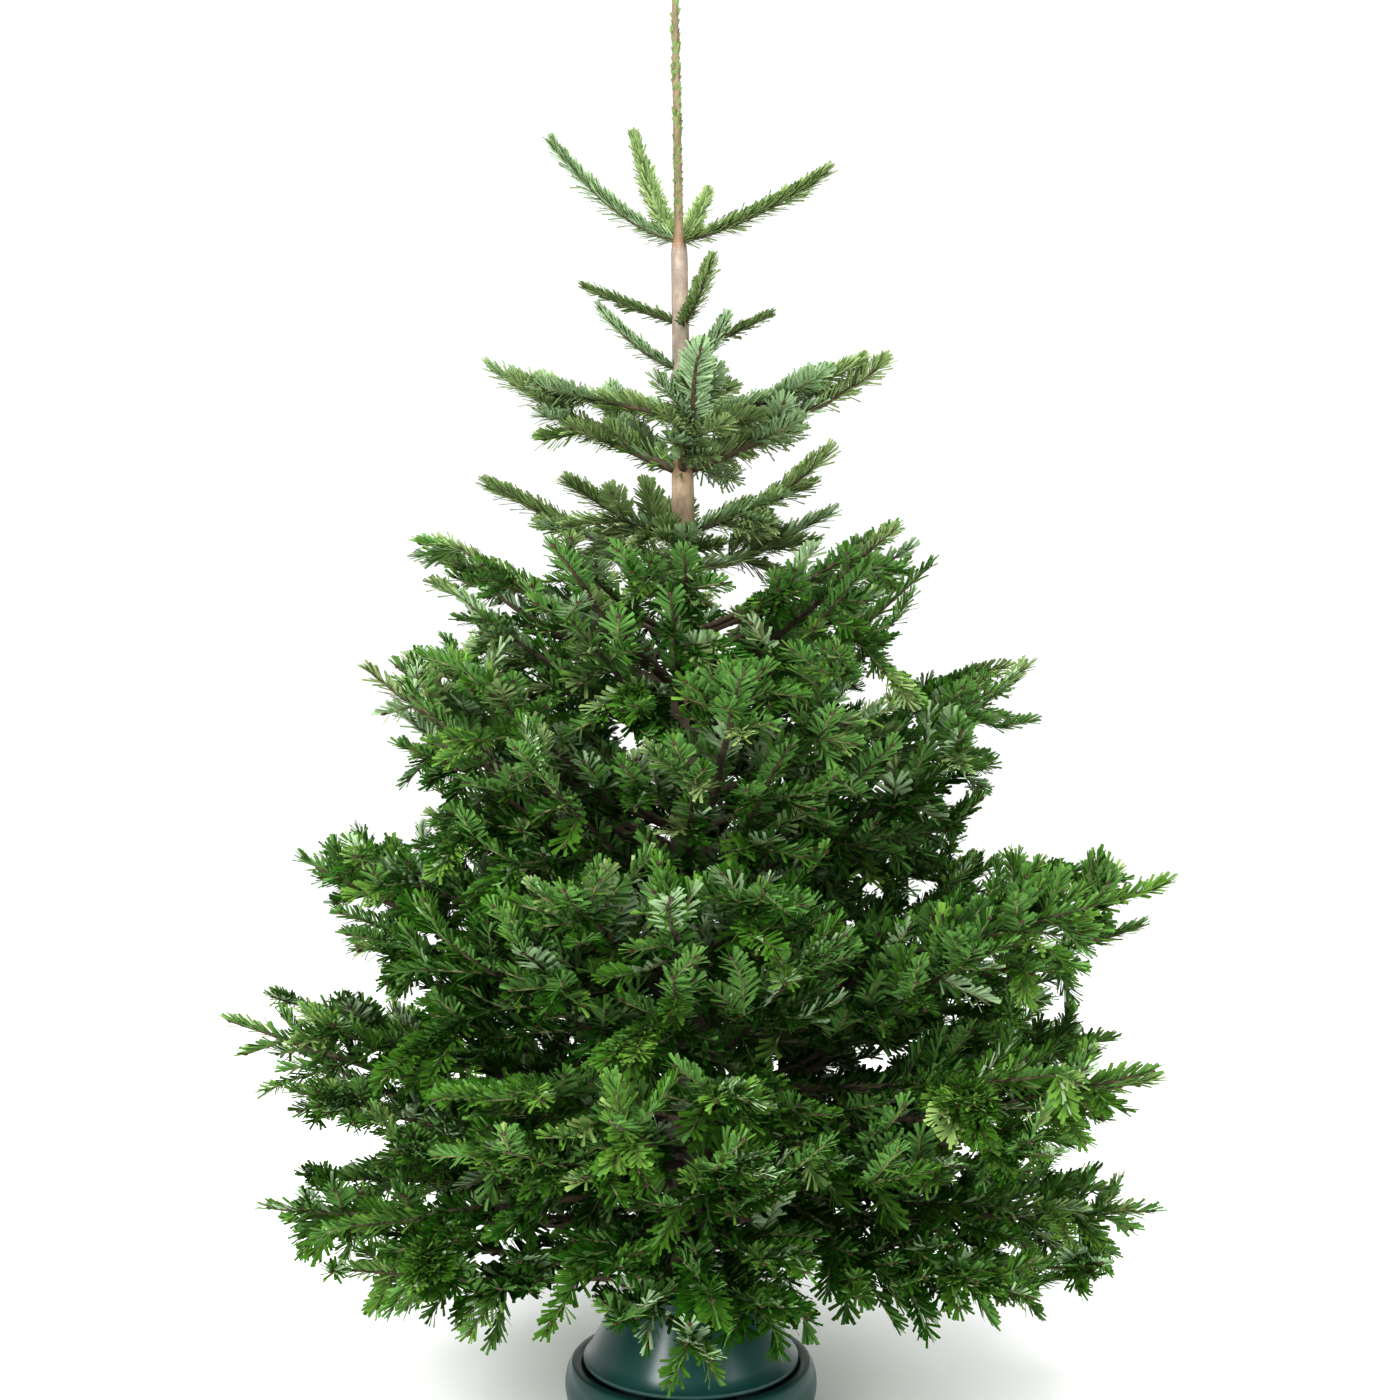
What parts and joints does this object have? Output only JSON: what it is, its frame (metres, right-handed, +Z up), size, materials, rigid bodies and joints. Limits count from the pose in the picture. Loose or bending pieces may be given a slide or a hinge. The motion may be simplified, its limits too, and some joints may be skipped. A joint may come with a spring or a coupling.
{
  "type": "cut christmas tree in a stand",
  "caption": "Cut fir christmas tree: a tapering trunk with whorls of spreading needled boughs under a bare leader, clamped upright in a round plastic water stand that rests on the floor.",
  "frame": {"origin": "centre of the stand's flat underside, on the floor", "axes": "+Z up along the trunk, +X to the viewer's right, -Y towards the viewer"},
  "size_m": [1.3037, 1.217, 2.064],
  "materials": {
    "bark": "rough grey-brown bark, smoother and paler on the young trunk",
    "needles": "dense dark green needles, slightly glossy above and pale beneath",
    "young_needles": "single young shoots of lighter green needles",
    "green_plastic": "glossy dark teal-green moulding",
    "black_plastic": "black moulding"
  },
  "bodies": {
    "root": {"trunk": "bark", "skirt_foliage_1": "needles", "skirt_foliage_2": "needles", "skirt_foliage_3": "needles", "skirt_foliage_4": "needles", "skirt_foliage_5": "needles", "lower_tier_foliage_1": "needles", "lower_tier_foliage_2": "needles", "lower_tier_foliage_3": "needles", "lower_tier_foliage_4": "needles", "lower_tier_foliage_5": "needles", "middle_tier_foliage_1": "needles", "middle_tier_foliage_2": "needles", "middle_tier_foliage_3": "needles", "middle_tier_foliage_4": "needles", "middle_tier_foliage_5": "needles", "upper_tier_foliage_1": "needles", "upper_tier_foliage_2": "needles", "upper_tier_foliage_3": "needles", "upper_tier_foliage_4": "needles", "upper_tier_foliage_5": "needles", "shoulder_tier_foliage_1": "needles", "shoulder_tier_bough_1": "bark", "shoulder_tier_foliage_2": "needles", "shoulder_tier_bough_2": "bark", "shoulder_tier_foliage_3": "needles", "shoulder_tier_bough_3": "bark", "shoulder_tier_foliage_4": "needles", "shoulder_tier_bough_4": "bark", "shoulder_tier_foliage_5": "needles", "shoulder_tier_bough_5": "bark", "crown_tier_foliage_1": "needles", "crown_tier_bough_1": "bark", "crown_tier_foliage_2": "needles", "crown_tier_bough_2": "bark", "crown_tier_foliage_3": "needles", "crown_tier_bough_3": "bark", "crown_tier_foliage_4": "needles", "crown_tier_bough_4": "bark", "crown_tier_foliage_5": "needles", "crown_tier_bough_5": "bark", "top_shoot_1": "young_needles", "top_shoot_2": "young_needles", "top_shoot_3": "young_needles", "top_shoot_4": "young_needles", "upper_twig_1": "young_needles", "upper_twig_2": "young_needles", "upper_twig_3": "young_needles", "upper_twig_4": "young_needles", "upper_twig_5": "young_needles", "crown_twig_1": "young_needles", "crown_twig_2": "young_needles", "crown_twig_3": "young_needles", "crown_twig_4": "young_needles", "crown_twig_5": "young_needles", "crown_twig_6": "young_needles", "stand_dish": "green_plastic", "stand_cone": "green_plastic", "stand_clamp": "black_plastic"}
  },
  "joints": []
}
